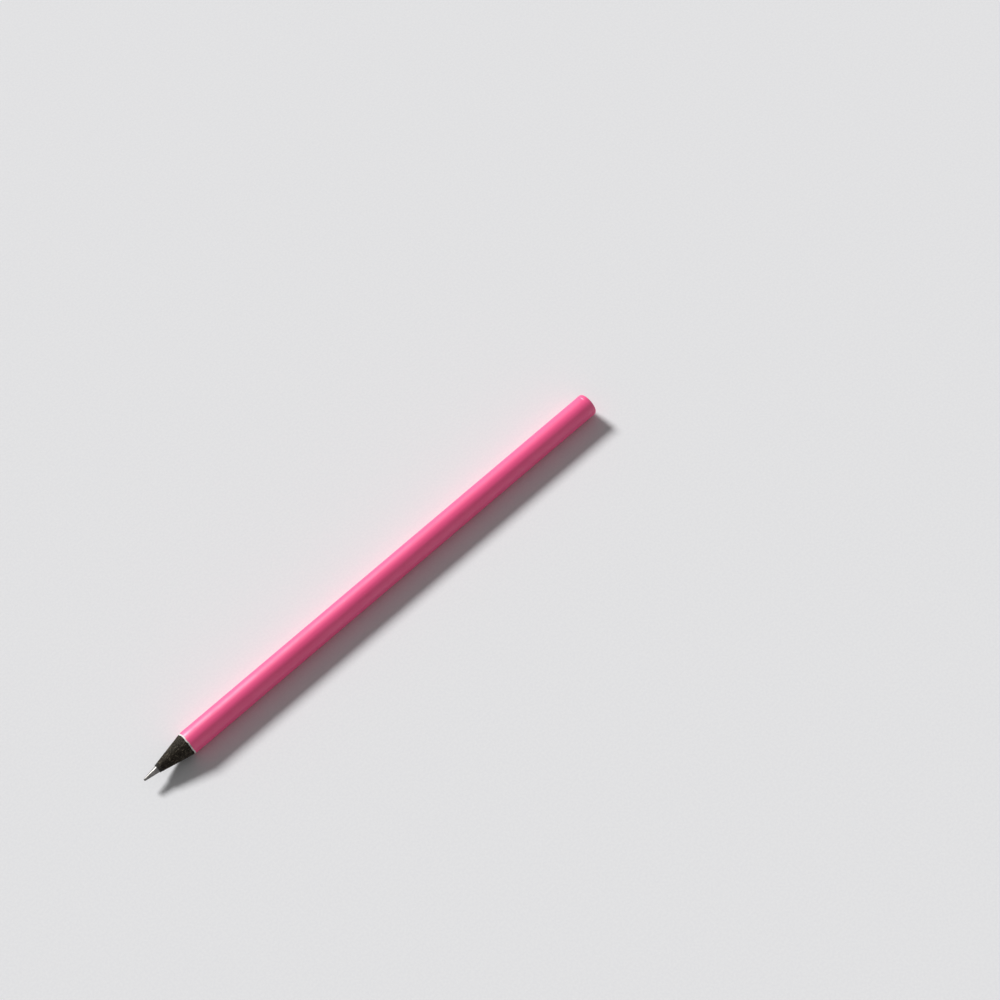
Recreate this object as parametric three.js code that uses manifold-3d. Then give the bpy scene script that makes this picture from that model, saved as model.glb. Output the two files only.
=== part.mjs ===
// A round wooden pencil: a black-dyed wood casing round a graphite lead, a white undercoat, a
// bright pink colour coat, a lacquer-dipped tail and a factory-cut point.
//
// The axis lies along X, with the point towards -X and the dipped tail towards +X, and the
// pencil rests on Z = 0. It is put together in the order in which a real one is made. Two
// grooved slats are glued round the lead, the round blank is coated and its tail is trimmed
// and dipped. The point is cut through every layer, so the layers show as rings there.
// All sizes are in millimetres.

import * as THREE from "three";
import { mergeVertices, toCreasedNormals } from "three/addons/utils/BufferGeometryUtils.js";
import Module from "manifold-3d";

// Overall sizes
const LENGTH = 176; // from the tip of the lead to the end of the dipped tail
const BARREL_DIAMETER = 7.4; // over the colour coat

// Lead
const LEAD_DIAMETER = 2.2;
const LEAD_EXPOSED = 4.9; // bare lead in front of the wood
const TIP_RADIUS = 0.4; // the blunt, rounded tip

// Casing
const GLUE_THICKNESS = 0.06; // between the two slats, and round the lead

// Coats
const UNDERCOAT_THICKNESS = 0.08;
const COLOUR_THICKNESS = 0.08;

// Point
const CONE_HALF_ANGLE = THREE.MathUtils.degToRad(11.9); // of the cut through wood and coats
const LIP_THICKNESS = 0.1; // blunt wall of wood left where the lead comes out
const KNIFE_RIPPLE = 0.03; // how far the cut wanders in and out on its way round
const RIPPLE_WAVES = [
  { perTurn: 3, share: 0.5, phase: 0.6 },
  { perTurn: 7, share: 0.3, phase: 2.1 },
  { perTurn: 13, share: 0.2, phase: 4.0 },
];

// Tail
const TRIM_ROUNDING = 0.45; // edge of the trimmed blank
const DIP_END_THICKNESS = 0.25; // lacquer over the trimmed end
const DIP_SIDE_THICKNESS = 0.04; // lacquer lapped onto the barrel
const DIP_LAP = 1.3; // length of barrel that the dip covers
const DIP_FEATHER = 0.15; // length over which the lap thins out to its edge

// Fit and facets
const FIT_GAP = 0.01; // between any two pieces
const CUT_ALLOWANCE = 1; // how far uncut stock runs past the finished surface
const ROUND_STEPS = 72; // facets round the pencil, one of them facing straight down
const ROUNDING_STEPS = 2; // half the facets along each small rounding
const WELD_DISTANCE = 1e-4;
const CREASE_ANGLE = THREE.MathUtils.degToRad(30);

// Radii, from the axis outwards
const LEAD_RADIUS = LEAD_DIAMETER / 2;
const LEAD_HOLE_RADIUS = LEAD_RADIUS + FIT_GAP;
const GLUE_RADIUS = LEAD_HOLE_RADIUS + GLUE_THICKNESS;
const GROOVE_RADIUS = GLUE_RADIUS + FIT_GAP;
const LIP_RADIUS = GROOVE_RADIUS + LIP_THICKNESS;
const BARREL_RADIUS = BARREL_DIAMETER / 2;
const COLOUR_INNER_RADIUS = BARREL_RADIUS - COLOUR_THICKNESS;
const UNDERCOAT_RADIUS = COLOUR_INNER_RADIUS - FIT_GAP;
const UNDERCOAT_INNER_RADIUS = UNDERCOAT_RADIUS - UNDERCOAT_THICKNESS;
const CASING_RADIUS = UNDERCOAT_INNER_RADIUS - FIT_GAP;
const DIP_INNER_RADIUS = BARREL_RADIUS + FIT_GAP;
const DIP_RADIUS = DIP_INNER_RADIUS + DIP_SIDE_THICKNESS;
const STOCK_RADIUS = BARREL_RADIUS + CUT_ALLOWANCE;

// Stations along X, from the tip to the tail
const TIP_X = -LENGTH / 2;
const LIP_X = TIP_X + LEAD_EXPOSED;
const CONE_END_X = LIP_X + (STOCK_RADIUS - LIP_RADIUS) / Math.tan(CONE_HALF_ANGLE);
const END_X = LENGTH / 2;
const DIP_INNER_X = END_X - DIP_END_THICKNESS;
const TRIM_X = DIP_INNER_X - FIT_GAP;
const ROUNDING_X = TRIM_X - TRIM_ROUNDING;
const LAP_X = TRIM_X - DIP_LAP;

// The glue joint is level, so half of it lies on each side of the axis.
const HALF_JOINT = GLUE_THICKNESS / 2;
const SLAT_FLOOR = HALF_JOINT + FIT_GAP;

// The lathe starts half a facet round, so that a facet and not an edge meets the ground.
const HALF_FACET_ANGLE = Math.PI / ROUND_STEPS;
const AXIS_HEIGHT = DIP_RADIUS * Math.cos(HALF_FACET_ANGLE);

const wasm = await Module();
wasm.setup();

// A closed geometry as a solid that can be cut.
function solidFrom(geometry) {
  const bare = geometry.clone();
  bare.deleteAttribute("normal");
  bare.deleteAttribute("uv");
  const welded = mergeVertices(bare, WELD_DISTANCE);
  const mesh = new wasm.Mesh({
    numProp: 3,
    vertProperties: new Float32Array(welded.getAttribute("position").array),
    triVerts: new Uint32Array(welded.getIndex().array),
  });
  return new wasm.Manifold(mesh);
}

// A solid as a geometry, shaded smooth except across its sharp edges.
function geometryFrom(solid) {
  const mesh = solid.getMesh();
  const geometry = new THREE.BufferGeometry();
  const position = new THREE.BufferAttribute(mesh.vertProperties, mesh.numProp);
  geometry.setAttribute("position", position);
  geometry.setIndex(new THREE.BufferAttribute(mesh.triVerts, 1));
  return toCreasedNormals(geometry, CREASE_ANGLE);
}

// Turns a profile round the X axis. Its points hold a radius and a station along X.
function turned(profile) {
  const points = profile.getPoints(ROUNDING_STEPS);
  const geometry = new THREE.LatheGeometry(points, ROUND_STEPS, HALF_FACET_ANGLE);
  return geometry.rotateZ(-Math.PI / 2);
}

// Planes a section out along X as stock that runs past both ends of the finished pencil. The
// section's first axis becomes Y and its second becomes Z.
function planed(section) {
  const geometry = new THREE.ExtrudeGeometry(section, {
    depth: LENGTH + 2 * CUT_ALLOWANCE,
    curveSegments: ROUND_STEPS / 2,
    bevelEnabled: false,
  });
  const alongX = new THREE.Matrix4().makeBasis(
    new THREE.Vector3(0, 1, 0),
    new THREE.Vector3(0, 0, 1),
    new THREE.Vector3(1, 0, 0),
  );
  return geometry.applyMatrix4(alongX).translate(TIP_X - CUT_ALLOWANCE, 0, 0);
}

// Half the width of a circle at a given height above its centre.
function halfChord(radius, height) {
  return Math.sqrt(radius ** 2 - height ** 2);
}

// One half of the casing: a half-round with a groove for the lead in its flat face.
function slatSection() {
  const outerAngle = Math.asin(SLAT_FLOOR / CASING_RADIUS);
  const grooveAngle = Math.asin(SLAT_FLOOR / GROOVE_RADIUS);
  const section = new THREE.Shape();
  section.moveTo(halfChord(GROOVE_RADIUS, SLAT_FLOOR), SLAT_FLOOR);
  section.lineTo(halfChord(CASING_RADIUS, SLAT_FLOOR), SLAT_FLOOR);
  section.absarc(0, 0, CASING_RADIUS, outerAngle, Math.PI - outerAngle, false);
  section.absarc(0, 0, GROOVE_RADIUS, Math.PI - grooveAngle, grooveAngle, true);
  return section;
}

// The glue, squeezed out flat between the slats and into a ring round the lead.
function glueSection() {
  const wingTip = halfChord(CASING_RADIUS, HALF_JOINT);
  const ringAngle = Math.asin(HALF_JOINT / GLUE_RADIUS);
  const section = new THREE.Shape();
  section.moveTo(wingTip, -HALF_JOINT);
  section.lineTo(wingTip, HALF_JOINT);
  section.absarc(0, 0, GLUE_RADIUS, ringAngle, Math.PI - ringAngle, false);
  section.lineTo(-wingTip, HALF_JOINT);
  section.lineTo(-wingTip, -HALF_JOINT);
  section.absarc(0, 0, GLUE_RADIUS, Math.PI + ringAngle, 2 * Math.PI - ringAngle, false);
  const leadHole = new THREE.Path();
  leadHole.absarc(0, 0, LEAD_HOLE_RADIUS, 0, 2 * Math.PI, false);
  section.holes.push(leadHole);
  return section;
}

// A coat before the point is cut: a tube from just past the lip to just past the trimmed end.
function coatTube(innerRadius, outerRadius) {
  const profile = new THREE.Path();
  profile.moveTo(innerRadius, LIP_X);
  profile.lineTo(outerRadius, LIP_X);
  profile.lineTo(outerRadius, END_X);
  profile.lineTo(innerRadius, END_X);
  profile.lineTo(innerRadius, LIP_X);
  return turned(profile);
}

// How far the cut stands out from a true cone at an angle round the pencil.
function ripple(angle) {
  const heights = RIPPLE_WAVES.map(
    ({ perTurn, share, phase }) => share * Math.sin(perTurn * angle + phase),
  );
  return KNIFE_RIPPLE * heights.reduce((sum, height) => sum + height, 0);
}

// All that is left of the blank once the point is cut and the tail is trimmed: a cone with a
// blunt lip in front, and a rounded edge behind. The cone's two rings carry the ripple.
function finishedEnvelope() {
  const profile = new THREE.Path();
  profile.moveTo(0, LIP_X);
  profile.lineTo(LIP_RADIUS, LIP_X);
  profile.lineTo(STOCK_RADIUS, CONE_END_X);
  profile.lineTo(STOCK_RADIUS, ROUNDING_X);
  profile.lineTo(BARREL_RADIUS, ROUNDING_X);
  profile.absarc(BARREL_RADIUS - TRIM_ROUNDING, ROUNDING_X, TRIM_ROUNDING, 0, Math.PI / 2, false);
  profile.lineTo(0, TRIM_X);
  const geometry = turned(profile);
  const position = geometry.getAttribute("position");
  for (let i = 0; i < position.count; i += 1) {
    const y = position.getY(i);
    const z = position.getZ(i);
    const radius = Math.hypot(y, z);
    const onCone = radius > GROOVE_RADIUS && position.getX(i) < ROUNDING_X - CUT_ALLOWANCE;
    const scale = onCone ? 1 + ripple(Math.atan2(z, y)) / radius : 1;
    position.setY(i, y * scale);
    position.setZ(i, z * scale);
  }
  return geometry;
}

// The lead: a rod flush with the trimmed end, tapering to a ball-shaped tip. The taper is the
// line from the rod's edge at the lip that touches the ball.
function leadGeometry() {
  const run = LEAD_EXPOSED - TIP_RADIUS;
  const taper = Math.atan2(LEAD_RADIUS, run) - Math.asin(TIP_RADIUS / Math.hypot(run, LEAD_RADIUS));
  const profile = new THREE.Path();
  profile.absarc(0, TIP_X + TIP_RADIUS, TIP_RADIUS, -Math.PI / 2, -taper, false);
  profile.lineTo(LEAD_RADIUS, LIP_X);
  profile.lineTo(LEAD_RADIUS, TRIM_X);
  profile.lineTo(0, TRIM_X);
  return turned(profile);
}

// The dipped lacquer: a thin cup over the trimmed end. Its inside follows the rounded edge
// with a gap, its outside swells past that edge, and its lap thins out along the barrel.
function dipGeometry() {
  const centreRadius = BARREL_RADIUS - TRIM_ROUNDING;
  const innerRounding = TRIM_ROUNDING + FIT_GAP;
  const quarter = Math.PI / 2;
  const profile = new THREE.Path();
  profile.moveTo(0, DIP_INNER_X);
  profile.lineTo(centreRadius, DIP_INNER_X);
  profile.absarc(centreRadius, ROUNDING_X, innerRounding, quarter, 0, true);
  profile.lineTo(DIP_INNER_RADIUS, LAP_X);
  profile.lineTo(DIP_RADIUS, LAP_X + DIP_FEATHER);
  profile.absellipse(
    centreRadius,
    ROUNDING_X,
    DIP_RADIUS - centreRadius,
    END_X - ROUNDING_X,
    0,
    quarter,
    false,
  );
  profile.lineTo(0, END_X);
  return turned(profile);
}

// Finishes
const dyedWood = new THREE.MeshStandardMaterial({ color: 0x2a2622, roughness: 0.8, metalness: 0 });
const graphite = new THREE.MeshStandardMaterial({ color: 0x6b6a69, roughness: 0.32, metalness: 0.7 });
const driedGlue = new THREE.MeshStandardMaterial({ color: 0x3a332a, roughness: 0.5, metalness: 0 });
const whiteLacquer = new THREE.MeshStandardMaterial({ color: 0xf6f4f0, roughness: 0.45, metalness: 0 });
const pinkLacquer = new THREE.MeshStandardMaterial({ color: 0xff3d83, roughness: 0.28, metalness: 0 });

const envelope = solidFrom(finishedEnvelope());

// Cuts a piece of stock to the finished shape.
function finished(stock) {
  return geometryFrom(solidFrom(stock).intersect(envelope));
}

// A named piece of the pencil.
function piece(name, geometry, material) {
  const mesh = new THREE.Mesh(geometry, material);
  mesh.name = name;
  return mesh;
}

const layers = new THREE.Group();
layers.position.z = AXIS_HEIGHT;
layers.add(
  piece("graphite_core", leadGeometry(), graphite),
  piece("glue_film", finished(planed(glueSection())), driedGlue),
  piece("upper_slat", finished(planed(slatSection())), dyedWood),
  piece("lower_slat", finished(planed(slatSection()).rotateX(Math.PI)), dyedWood.clone()),
  piece("undercoat", finished(coatTube(UNDERCOAT_INNER_RADIUS, UNDERCOAT_RADIUS)), whiteLacquer),
  piece("colour_coat", finished(coatTube(COLOUR_INNER_RADIUS, BARREL_RADIUS)), pinkLacquer),
  piece("end_dip", dipGeometry(), pinkLacquer.clone()),
);

const pencil = new THREE.Group();
pencil.add(layers);

export default pencil;
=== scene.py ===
"""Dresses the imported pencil: a round wooden pencil that lies on its side, point towards -X.

Finely turned pieces take the place of the faceted solids and keep their sizes. Every piece
gets its own finish, and a studio with a pale floor and the camera goes round them. The
dataclasses hold millimetres, as on a drawing, and the meshes are in metres.
"""

import logging
import math
from abc import ABC, abstractmethod
from dataclasses import dataclass, field
from enum import Enum
from itertools import pairwise
from typing import Callable, Iterator, Sequence

import bpy
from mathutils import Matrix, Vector, noise


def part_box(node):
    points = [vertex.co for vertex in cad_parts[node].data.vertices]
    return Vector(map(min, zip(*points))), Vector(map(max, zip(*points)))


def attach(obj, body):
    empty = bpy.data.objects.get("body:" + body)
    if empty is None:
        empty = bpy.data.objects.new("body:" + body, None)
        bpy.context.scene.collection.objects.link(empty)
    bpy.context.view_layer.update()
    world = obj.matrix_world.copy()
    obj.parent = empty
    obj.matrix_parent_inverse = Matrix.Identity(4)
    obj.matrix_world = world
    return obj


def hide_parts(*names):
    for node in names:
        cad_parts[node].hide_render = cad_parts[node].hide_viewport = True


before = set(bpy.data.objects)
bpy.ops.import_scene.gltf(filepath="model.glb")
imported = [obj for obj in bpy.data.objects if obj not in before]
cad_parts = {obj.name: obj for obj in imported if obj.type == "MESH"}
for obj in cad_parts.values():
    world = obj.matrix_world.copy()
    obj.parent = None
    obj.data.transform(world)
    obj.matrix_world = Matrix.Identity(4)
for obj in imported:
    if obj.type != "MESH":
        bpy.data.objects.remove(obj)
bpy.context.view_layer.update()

Piece = bpy.types.Object
Socket = bpy.types.NodeSocket
Node = bpy.types.Node
Colour = tuple[float, float, float]
Span = tuple[float, float]  # the two ends of a range
Station = tuple[float, float]  # a place along X and the radius there, in millimetres

LOG = logging.getLogger("pencil")
MM = 0.001
SNAP = 0.001  # how far a vertex may lie past an edge and still count as on it, in millimetres
SMOOTH_ANGLE = math.radians(35)
UNIT: Span = (0.0, 1.0)


def smooth(low: float, high: float, value: float) -> float:
    """Rises softly from 0 at low to 1 at high.

    Args:
        low: Where the rise begins.
        high: Where it ends.
        value: Where it is read.

    Returns:
        A number from 0 to 1.
    """
    share = min(max((value - low) / (high - low), 0.0), 1.0)
    return share * share * (3 - 2 * share)


def spread(start: float, end: float, count: int) -> Iterator[float]:
    """Evenly spaced values with both ends.

    Args:
        start: First value.
        end: Last value.
        count: How many steps lie between them.

    Returns:
        An iterator over count + 1 values.
    """
    return (start + (end - start) * step / count for step in range(count + 1))


# The pencil's sizes


@dataclass(frozen=True)
class RippleWave:
    """One wave of the knife's wandering on its way round the point."""

    per_turn: int
    share: float
    phase: float


@dataclass(frozen=True)
class PencilSizes:
    """Sizes that the pieces share. X is measured from the middle, radii from the axis."""

    axis_height: float
    tip_x: float = -88.0
    lip_x: float = -83.1
    lip_radius: float = 1.28
    trim_x: float = 87.74
    end_x: float = 88.0
    trim_rounding: float = 0.45
    barrel_radius: float = 3.70
    cone_half_angle: float = math.radians(11.9)
    ripple_depth: float = 0.03
    ripple_waves: tuple[RippleWave, ...] = (
        RippleWave(3, 0.5, 0.6),
        RippleWave(7, 0.3, 2.1),
        RippleWave(13, 0.2, 4.0),
    )

    @property
    def cone_slope(self) -> float:
        """Growth of the cone's radius per millimetre of length."""
        return math.tan(self.cone_half_angle)

    @property
    def rounding_x(self) -> float:
        """Where the trimmed tail starts to round off."""
        return self.trim_x - self.trim_rounding

    @property
    def rounding_centre(self) -> float:
        """Radius of the centres of the tail's rounding."""
        return self.barrel_radius - self.trim_rounding

    def cone_x(self, radius: float) -> float:
        """Where the cone reaches a radius."""
        return self.lip_x + (radius - self.lip_radius) / self.cone_slope

    def cone_radius(self, x: float) -> float:
        """The cone's radius at a place along X."""
        return self.lip_radius + (x - self.lip_x) * self.cone_slope

    def trimmed_x(self, radius: float) -> float:
        """Where the trimmed, rounded tail ends at a radius."""
        reach = max(radius - self.rounding_centre, 0.0)
        return self.rounding_x + math.sqrt(max(self.trim_rounding**2 - reach**2, 0.0))

    def ripple(self, angle: float) -> float:
        """How far the cut stands out from a true cone.

        Args:
            angle: Angle round the axis, from +Y towards +Z.

        Returns:
            The height of the ripple.
        """
        waves = (
            wave.share * math.sin(wave.per_turn * angle + wave.phase)
            for wave in self.ripple_waves
        )
        return self.ripple_depth * sum(waves)


@dataclass
class Spot:
    """A vertex seen from the pencil's axis: place along X, radius and angle round it."""

    x: float
    radius: float
    angle: float


# The lathe


def pick(piece: Piece) -> None:
    """Makes a piece the active one and the only one that is selected.

    Args:
        piece: The piece.
    """
    bpy.ops.object.select_all(action="DESELECT")
    piece.select_set(True)
    bpy.context.view_layer.objects.active = piece


@dataclass(frozen=True)
class Lathe:
    """Turns outlines round the pencil's axis, and moves vertices seen from that axis."""

    axis_height: float
    steps: int = 256
    seed_size: float = 0.1
    weld: float = 1e-7

    @property
    def centre(self) -> Vector:
        """A point on the axis, in metres."""
        return Vector((0, 0, self.axis_height)) * MM

    def place(self, station: Station) -> Vector:
        """A station of an outline as a point in metres, drawn on the +Y side."""
        return self.centre + Vector((station[0], station[1], 0)) * MM

    def turn(self, name: str, outline: Sequence[Station]) -> Piece:
        """Draws an outline point by point and spins it once round the axis.

        Args:
            name: Name of the piece.
            outline: Its stations. Both ends lie on the axis, or the last one meets the first.

        Returns:
            The closed piece, with its faces outwards and its object at the origin.
        """
        bpy.ops.object.select_all(action="DESELECT")
        bpy.context.scene.tool_settings.mesh_select_mode = (True, False, False)
        bpy.ops.mesh.primitive_plane_add(size=self.seed_size * MM, location=self.place(outline[0]))
        piece = bpy.context.object
        piece.name = name
        piece.data.name = name
        bpy.ops.object.mode_set(mode="EDIT")
        bpy.ops.mesh.merge(type="CENTER")
        for here, there in pairwise(outline):
            step = self.place(there) - self.place(here)
            bpy.ops.mesh.extrude_vertices_move(TRANSFORM_OT_translate={"value": step})
        bpy.ops.mesh.select_all(action="SELECT")
        bpy.ops.mesh.remove_doubles(threshold=self.weld)
        bpy.ops.mesh.spin(steps=self.steps, angle=math.tau, center=self.centre, axis=(1, 0, 0))
        bpy.ops.mesh.select_all(action="SELECT")
        bpy.ops.mesh.remove_doubles(threshold=self.weld)
        bpy.ops.mesh.normals_make_consistent(inside=False)
        bpy.ops.object.mode_set(mode="OBJECT")
        bpy.ops.object.transform_apply(location=True, rotation=True, scale=True)
        return piece

    def spot(self, point: Vector) -> Spot:
        """A mesh point as seen from the axis."""
        local = (point - self.centre) / MM
        return Spot(local.x, math.hypot(local.y, local.z), math.atan2(local.z, local.y))

    def point(self, spot: Spot) -> Vector:
        """The mesh point of a spot."""
        across = Vector((0, math.cos(spot.angle), math.sin(spot.angle))) * spot.radius
        return self.centre + (across + Vector((spot.x, 0, 0))) * MM

    def reshape(self, piece: Piece, move: Callable[[Spot], None]) -> None:
        """Moves the vertices of a piece as a craftsman's small slips would.

        Args:
            piece: The piece, changed in place.
            move: Changes a spot in place.
        """
        for vertex in piece.data.vertices:
            spot = self.spot(vertex.co)
            if spot.radius < self.weld / MM:
                continue
            move(spot)
            vertex.co = self.point(spot)
        piece.data.update()


@dataclass(frozen=True)
class Lumps:
    """A random pattern through the pencil, in lumps per millimetre along it and across it."""

    along: float
    across: float

    def at(self, spot: Spot, seed: float = 0.0) -> float:
        """Reads the pattern at a spot.

        Args:
            spot: The spot.
            seed: Picks one of many such patterns.

        Returns:
            A number from about -1 to 1.
        """
        reach = spot.radius * self.across
        y = math.cos(spot.angle) * reach
        z = math.sin(spot.angle) * reach
        return noise.noise(Vector((spot.x * self.along + seed, y, z)))


def wander(angle: float, lobes: float, seed: float) -> float:
    """A smooth random value that closes on itself round the pencil.

    Args:
        angle: Angle round the axis.
        lobes: How busy it is.
        seed: Picks one of many such lines.

    Returns:
        A number from about -1 to 1.
    """
    return noise.noise(Vector((math.cos(angle) * lobes, math.sin(angle) * lobes, seed)))


def finish_piece(piece: Piece, material: bpy.types.Material, node: str) -> None:
    """Smooths a piece, gives it its finish and puts it in its solid's place.

    Args:
        piece: The piece.
        material: Its finish.
        node: The solid that it stands for.
    """
    pick(piece)
    bpy.ops.object.shade_smooth_by_angle(angle=SMOOTH_ANGLE)
    piece.data.materials.clear()
    piece.data.materials.append(material)
    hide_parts(node)
    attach(piece, "root")


# Shader groups and the bench that they are joined on


@dataclass(frozen=True)
class Cloud:
    """Plain noise: its lumps per unit, how many finer layers it has and how strong they are."""

    scale: float = 1.0
    detail: float = 2.0
    roughness: float = 0.5


class Bench:
    """Adds and joins the nodes of one material or group."""

    def __init__(self, tree: bpy.types.NodeTree) -> None:
        """Works on an empty tree.

        Args:
            tree: The tree.
        """
        self.tree = tree
        tree.nodes.clear()

    def put(self, kind: str, settings: dict[str, object] | None = None, **inputs: object) -> Node:
        """Adds a node.

        Args:
            kind: Blender's name of the node type.
            settings: Its settings.
            inputs: Values or sockets for its inputs, underscores standing for spaces.

        Returns:
            The node.
        """
        node = self.tree.nodes.new(kind)
        for name, value in (settings or {}).items():
            setattr(node, name, value)
        self.fill(node, **inputs)
        return node

    def fill(self, node: Node, **inputs: object) -> None:
        """Sets or joins a node's inputs by name, underscores standing for spaces."""
        for name, value in inputs.items():
            self.feed(node.inputs[name.replace("_", " ")], value)

    def feed(self, socket: Socket, value: object) -> None:
        """Joins a socket to an input, or sets the input's own value.

        Args:
            socket: The input.
            value: A socket, or a value.
        """
        if isinstance(value, bpy.types.NodeSocket):
            self.tree.links.new(value, socket)
        else:
            socket.default_value = value

    def math(self, operation: str, *values: object) -> Socket:
        """One sum on numbers.

        Args:
            operation: Blender's name of the operation.
            values: Numbers or sockets.

        Returns:
            The result.
        """
        node = self.put("ShaderNodeMath", {"operation": operation})
        for socket, value in zip(node.inputs, values):
            self.feed(socket, value)
        return node.outputs[0]

    def vector(self, operation: str, *values: object) -> Socket:
        """One sum on vectors.

        Args:
            operation: Blender's name of the operation.
            values: Vectors, or a number as the last one for SCALE.

        Returns:
            The result.
        """
        node = self.put("ShaderNodeVectorMath", {"operation": operation})
        inputs = [node.inputs[0], node.inputs["Scale"] if operation == "SCALE" else node.inputs[1]]
        for socket, value in zip(inputs, values):
            self.feed(socket, value)
        return node.outputs[0]

    def ramp(self, value: Socket, given: Span, wanted: Span = UNIT) -> Socket:
        """Maps a value softly from one range to another.

        Args:
            value: The value.
            given: Where the result takes its first and its last value.
            wanted: Those two values.

        Returns:
            The mapped value.
        """
        node = self.put(
            "ShaderNodeMapRange",
            {"interpolation_type": "SMOOTHSTEP"},
            Value=value,
            From_Min=given[0],
            From_Max=given[1],
            To_Min=wanted[0],
            To_Max=wanted[1],
        )
        return node.outputs["Result"]

    def noise(self, point: Socket, cloud: Cloud) -> Socket:
        """Plain noise.

        Args:
            point: Where it is read.
            cloud: Its scale and its layers.

        Returns:
            A value round 0.5.
        """
        node = self.put(
            "ShaderNodeTexNoise",
            {"noise_dimensions": "3D"},
            Vector=point,
            Scale=cloud.scale,
            Detail=cloud.detail,
            Roughness=cloud.roughness,
        )
        return node.outputs["Fac"]

    def mix(self, share: object, first: object, second: object) -> Socket:
        """Mixes two colours.

        Args:
            share: How much of the second one.
            first: First colour.
            second: Second colour.

        Returns:
            The mixed colour.
        """
        node = self.put("ShaderNodeMix", {"data_type": "RGBA"})
        self.fill(node, Factor=share, A=self.opaque(first), B=self.opaque(second))
        return node.outputs["Result"]

    @staticmethod
    def opaque(colour: object) -> object:
        """A plain colour with its alpha, or the socket as it is."""
        return (*colour, 1.0) if isinstance(colour, tuple) else colour

    def stretched(self, point: Socket, along: Socket, across: Socket) -> Socket:
        """Stretches a pattern along the pencil.

        Args:
            point: Where it is read, in millimetres.
            along: Length of one lump along X.
            across: Its width.

        Returns:
            The stretched point.
        """
        parts = self.put("ShaderNodeSeparateXYZ", Vector=point)
        return self.put(
            "ShaderNodeCombineXYZ",
            X=self.math("DIVIDE", parts.outputs["X"], along),
            Y=self.math("DIVIDE", parts.outputs["Y"], across),
            Z=self.math("DIVIDE", parts.outputs["Z"], across),
        ).outputs["Vector"]

    def shrunk(self, point: Socket, size: Socket) -> Socket:
        """Divides a point in millimetres by the size of one lump."""
        return self.vector("SCALE", point, self.math("DIVIDE", 1.0, size))

    def group(self, tree: bpy.types.NodeTree, **inputs: object) -> Node:
        """Places a shader group with its own values, underscores standing for spaces."""
        return self.put("ShaderNodeGroup", {"node_tree": tree}, **inputs)


class Effect(Enum):
    """The effects that several finishes share, each a shader group."""

    GRAIN = "lengthwise_grain"
    MARKS = "turning_marks"
    HANDLING = "handling_traces"
    FILM = "lacquer_film"


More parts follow.
